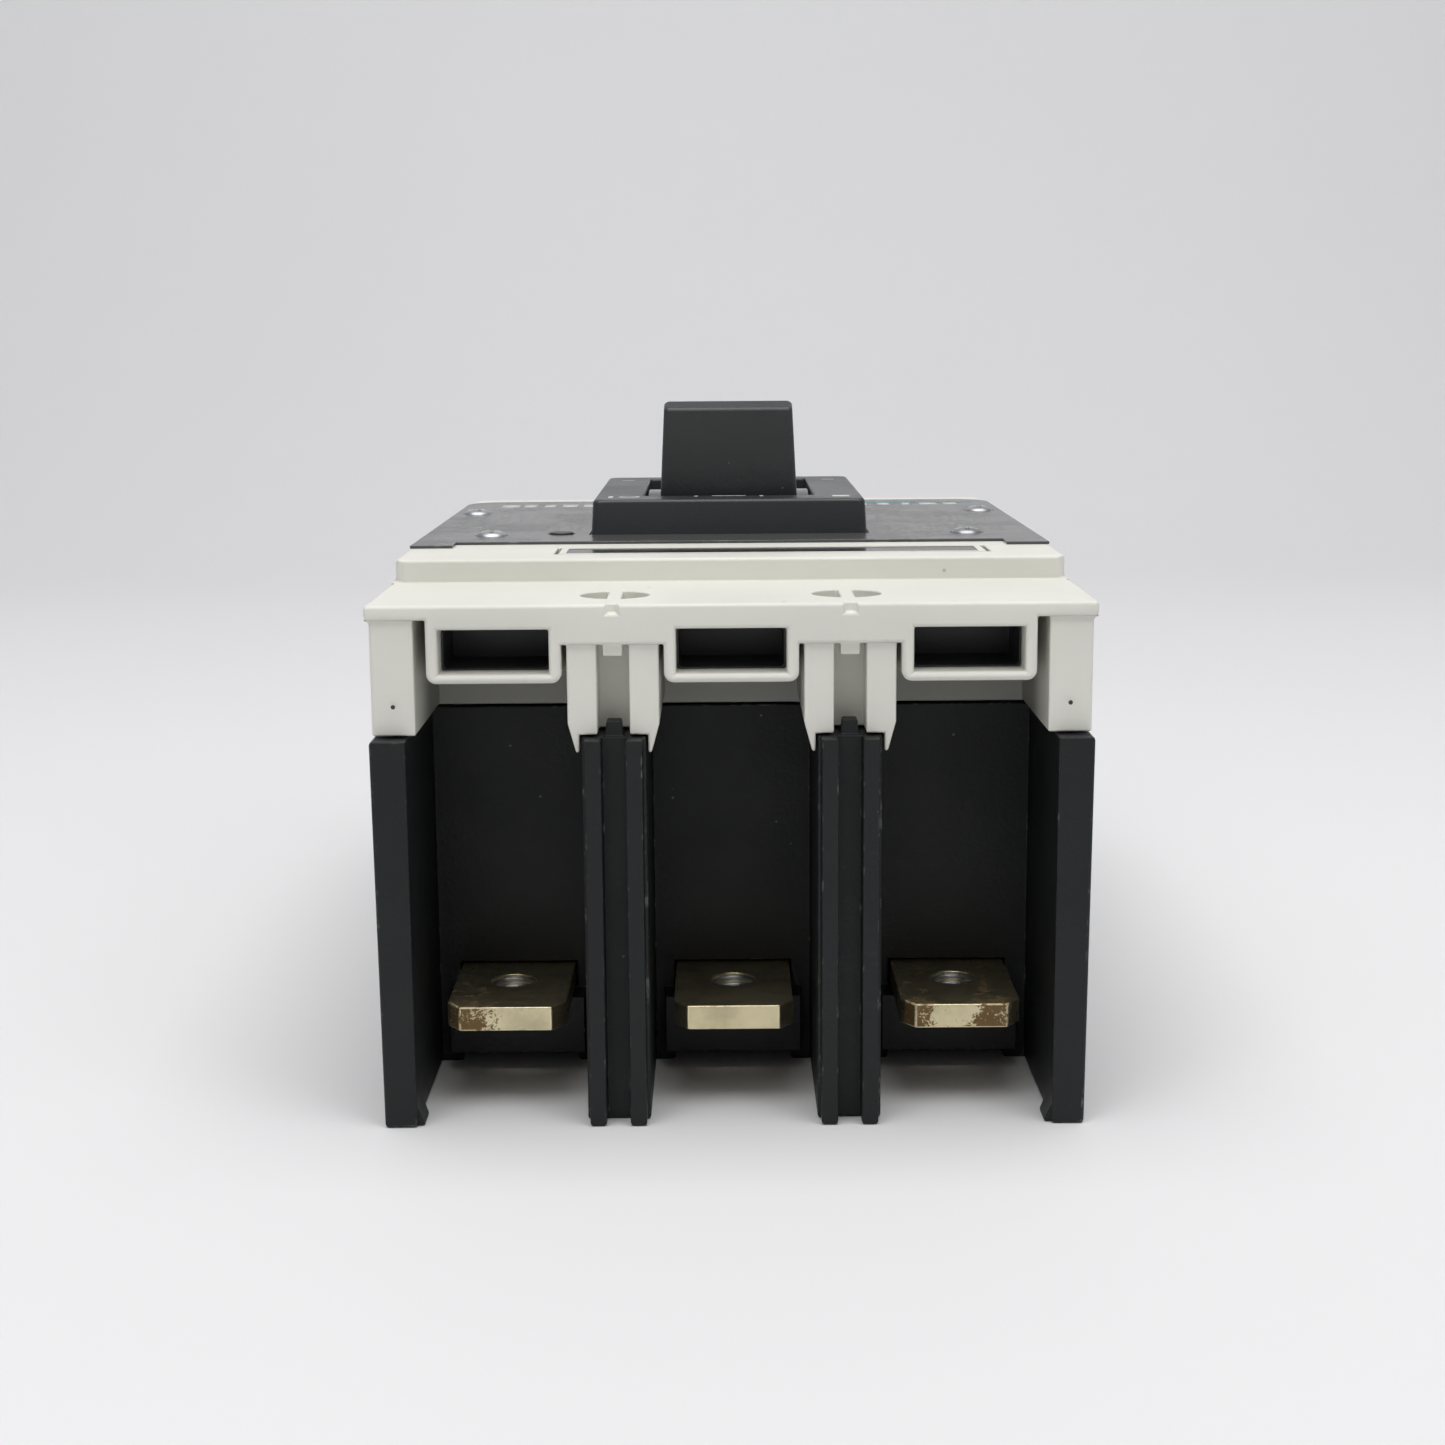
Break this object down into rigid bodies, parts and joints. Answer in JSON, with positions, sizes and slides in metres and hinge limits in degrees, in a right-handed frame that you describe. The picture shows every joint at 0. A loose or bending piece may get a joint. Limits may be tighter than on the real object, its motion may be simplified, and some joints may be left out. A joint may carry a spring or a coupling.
{
  "type": "molded case circuit breaker",
  "caption": "Three-pole molded case breaker: black base, white cover, dark faceplate, toggle handle, terminal bars at both ends and the contact and trip mechanism inside.",
  "frame": {"origin": "centre of the mounting face, under the middle of the whole part", "axes": "+Z from the mounting face to the handle, +Y from the load end to the line end, +X across the poles"},
  "size_m": [0.1078, 0.185, 0.1059],
  "materials": {
    "base_moulding": "fine-textured black glass-filled moulding",
    "cover_moulding": "satin warm white moulding",
    "grey_moulding": "satin dark grey moulding",
    "gloss_moulding": "polished dark grey moulding",
    "printed_plate": "dark grey printed sheet with a low sheen",
    "tinned_copper": "dull tin plate over copper, brown where it has worn through",
    "copper": "bare copper",
    "steel": "zinc plated steel",
    "insulation": "pressed fibre sheet"
  },
  "bodies": {
    "case": {"base": "base_moulding", "cover": "cover_moulding", "faceplate": "printed_plate", "strip_window": "gloss_moulding", "escutcheon": "grey_moulding", "cover_screw_front_left": "steel", "cover_screw_front_right": "steel", "cover_screw_back_left": "steel", "cover_screw_back_right": "steel", "side_plate_left": "steel", "side_plate_right": "steel", "cradle_pin": "steel", "braid_1": "copper", "line_terminal_1": "tinned_copper", "load_terminal_1": "tinned_copper", "arc_chute_1": "insulation", "magnet_yoke_1": "steel", "bimetal_1": "steel", "braid_2": "copper", "line_terminal_2": "tinned_copper", "load_terminal_2": "tinned_copper", "arc_chute_2": "insulation", "magnet_yoke_2": "steel", "bimetal_2": "steel", "braid_3": "copper", "line_terminal_3": "tinned_copper", "load_terminal_3": "tinned_copper", "arc_chute_3": "insulation", "magnet_yoke_3": "steel", "bimetal_3": "steel", "trip_button_spring": "steel"},
    "handle": {"handle_grip": "grey_moulding", "slot_shield": "gloss_moulding", "handle_yoke": "steel"},
    "main_springs": {"main_spring_left": "steel", "main_spring_right": "steel"},
    "crossbar": {"crossbar": "base_moulding", "crossbar_pin": "steel", "contact_spring_1": "steel", "contact_spring_2": "steel", "contact_spring_3": "steel"},
    "lower_links": {"lower_link_left": "steel", "lower_link_right": "steel", "knee_pin": "steel"},
    "upper_links": {"upper_link_left": "steel", "upper_link_right": "steel"},
    "cradle": {"cradle": "steel"},
    "trip_bar": {"trip_bar": "insulation"},
    "trip_button": {"trip_button": "grey_moulding"},
    "contact_arm_1": {"contact_arm_1": "copper"},
    "armature_1": {"armature_1": "steel"},
    "contact_arm_2": {"contact_arm_2": "copper"},
    "armature_2": {"armature_2": "steel"},
    "contact_arm_3": {"contact_arm_3": "copper"},
    "armature_3": {"armature_3": "steel"}
  },
  "joints": [
    {"name": "handle_toggle", "type": "hinge", "parent": "case", "child": "handle", "pos_m": [0, 0.00535, 0.056], "axis": [-1, 0, 0], "range_deg": [0, 42]},
    {"name": "spring_swing", "type": "hinge", "parent": "handle", "child": "main_springs", "pos_m": [0, -0.00296, 0.07766], "axis": [-1, 0, 0], "range_deg": [-26.5, 0]},
    {"name": "crossbar_turn", "type": "hinge", "parent": "case", "child": "crossbar", "pos_m": [0, -0.004, 0.028], "axis": [-1, 0, 0], "range_deg": [0, 24.5], "deforming": ["braid_1", "braid_2", "braid_3"]},
    {"name": "lower_link_swing", "type": "hinge", "parent": "crossbar", "child": "lower_links", "pos_m": [0, 0.00607, 0.03773], "axis": [-1, 0, 0], "range_deg": [-3.5, 0]},
    {"name": "knee", "type": "hinge", "parent": "lower_links", "child": "upper_links", "pos_m": [0, -0.00331, 0.04701], "axis": [-1, 0, 0], "range_deg": [-53.5, 0]},
    {"name": "cradle_trip", "type": "hinge", "parent": "case", "child": "cradle", "pos_m": [0, 0.022, 0.05], "axis": [-1, 0, 0], "range_deg": [0, 6]},
    {"name": "contact_arm_1_overtravel", "type": "hinge", "parent": "crossbar", "child": "contact_arm_1", "pos_m": [0, -0.004, 0.028], "axis": [1, 0, 0], "range_deg": [0, 2], "stiffness_Nm_per_rad": 1, "springref_deg": -11.46},
    {"name": "contact_arm_2_overtravel", "type": "hinge", "parent": "crossbar", "child": "contact_arm_2", "pos_m": [0, -0.004, 0.028], "axis": [1, 0, 0], "range_deg": [0, 2], "stiffness_Nm_per_rad": 1, "springref_deg": -11.46},
    {"name": "contact_arm_3_overtravel", "type": "hinge", "parent": "crossbar", "child": "contact_arm_3", "pos_m": [0, -0.004, 0.028], "axis": [1, 0, 0], "range_deg": [0, 2], "stiffness_Nm_per_rad": 1, "springref_deg": -11.46},
    {"name": "armature_1_pull", "type": "hinge", "parent": "case", "child": "armature_1", "pos_m": [0, -0.0378, 0.023], "axis": [1, 0, 0], "range_deg": [0, 3.5], "stiffness_Nm_per_rad": 0.02, "springref_deg": -17.19},
    {"name": "armature_2_pull", "type": "hinge", "parent": "case", "child": "armature_2", "pos_m": [0, -0.0378, 0.023], "axis": [1, 0, 0], "range_deg": [0, 3.5], "stiffness_Nm_per_rad": 0.02, "springref_deg": -17.19},
    {"name": "armature_3_pull", "type": "hinge", "parent": "case", "child": "armature_3", "pos_m": [0, -0.0378, 0.023], "axis": [1, 0, 0], "range_deg": [0, 3.5], "stiffness_Nm_per_rad": 0.02, "springref_deg": -17.19},
    {"name": "trip_button_press", "type": "slide", "parent": "case", "child": "trip_button", "axis": [0, 0, -1], "range_m": [0, 0.0015], "stiffness_N_per_m": 500, "springref_m": -0.002, "deforming": ["trip_button_spring"]},
    {"name": "trip_bar_turn", "type": "hinge", "parent": "case", "child": "trip_bar", "pos_m": [0, -0.036, 0.064], "axis": [-1, 0, 0], "range_deg": [0, 7]}
  ],
  "couplings": [
    {"joint": "spring_swing", "follows": "handle_toggle", "ratio": -0.61341},
    {"joint": "crossbar_turn", "follows": "handle_toggle", "ratio": 0.57143},
    {"joint": "lower_link_swing", "follows": "handle_toggle", "ratio": -0.075234},
    {"joint": "knee", "follows": "handle_toggle", "ratio": -1.265},
    {"joint": "trip_bar_turn", "follows": "trip_button_press", "rad_per_m": 79.365}
  ]
}
